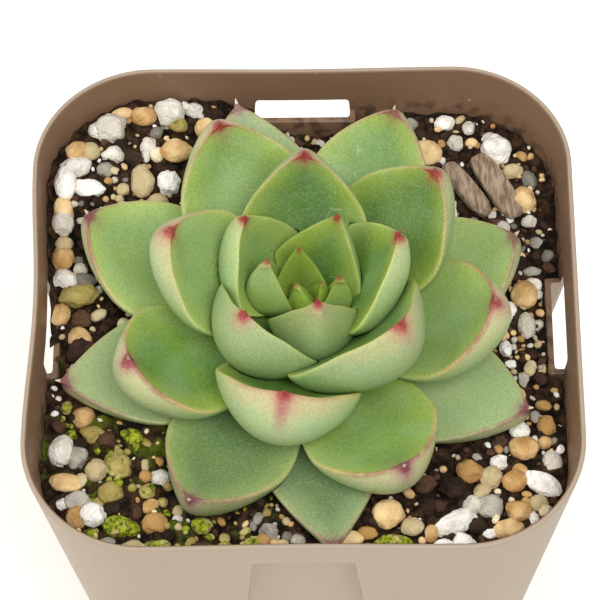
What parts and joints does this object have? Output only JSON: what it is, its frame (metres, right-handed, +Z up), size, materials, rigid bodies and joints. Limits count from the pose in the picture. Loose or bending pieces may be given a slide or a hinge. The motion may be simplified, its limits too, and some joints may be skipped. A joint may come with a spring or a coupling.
{
  "type": "potted echeveria",
  "caption": "Fleshy rosette succulent with pointed, red-tipped green leaves in a thin square plastic nursery pot filled with gravelly soil.",
  "frame": {"origin": "centre of the pot's footprint, on the surface it stands on", "axes": "+Z up along the pot's axis, +Y away from the viewer of the picture, +X to the viewer's right"},
  "size_m": [0.07, 0.07, 0.0874],
  "materials": {
    "pot": "satin beige-brown moulded plastic, darker inside",
    "soil": "dark peaty grit with pale gravel",
    "stem": "matte, brown-green",
    "leaf": "waxy green with a pale bloom, yellow-green and pink edges, crimson tip",
    "bud_leaf": "waxy bright yellow-green, small crimson tip",
    "old_leaf": "waxy grey-green, dull purple tip",
    "white_stone": "rough pumice",
    "tan_stone": "rough baked clay grit",
    "mossy_stone": "rough grit with yellow-green moss",
    "bark": "weathered bark"
  },
  "bodies": {
    "root": {"bark_chip_1": "bark", "bark_chip_2": "bark", "leaf_00": "bud_leaf", "leaf_01": "bud_leaf", "leaf_02": "bud_leaf", "leaf_03": "bud_leaf", "leaf_04": "bud_leaf", "leaf_05": "bud_leaf", "leaf_06": "bud_leaf", "leaf_07": "bud_leaf", "leaf_08": "leaf", "leaf_09": "leaf", "leaf_10": "leaf", "leaf_11": "leaf", "leaf_12": "leaf", "leaf_13": "leaf", "leaf_14": "leaf", "leaf_15": "leaf", "leaf_16": "leaf", "leaf_17": "leaf", "leaf_18": "leaf", "leaf_19": "leaf", "leaf_20": "leaf", "leaf_21": "leaf", "leaf_22": "leaf", "leaf_23": "leaf", "leaf_24": "leaf", "leaf_25": "leaf", "leaf_26": "old_leaf", "leaf_27": "old_leaf", "leaf_28": "old_leaf", "leaf_30": "old_leaf", "pot": "pot", "soil": "soil", "stem": "stem", "stone_mossy_1": "mossy_stone", "stone_mossy_2": "mossy_stone", "stone_mossy_3": "mossy_stone", "stone_tan_1": "tan_stone", "stone_tan_2": "tan_stone", "stone_tan_3": "tan_stone", "stone_tan_4": "tan_stone", "stone_tan_5": "tan_stone", "stone_tan_6": "tan_stone", "stone_tan_7": "tan_stone", "stone_tan_8": "tan_stone", "stone_white_1": "white_stone", "stone_white_10": "white_stone", "stone_white_11": "white_stone", "stone_white_2": "white_stone", "stone_white_3": "white_stone", "stone_white_4": "white_stone", "stone_white_5": "white_stone", "stone_white_6": "white_stone", "stone_white_7": "white_stone", "stone_white_8": "white_stone", "stone_white_9": "white_stone"}
  },
  "joints": []
}
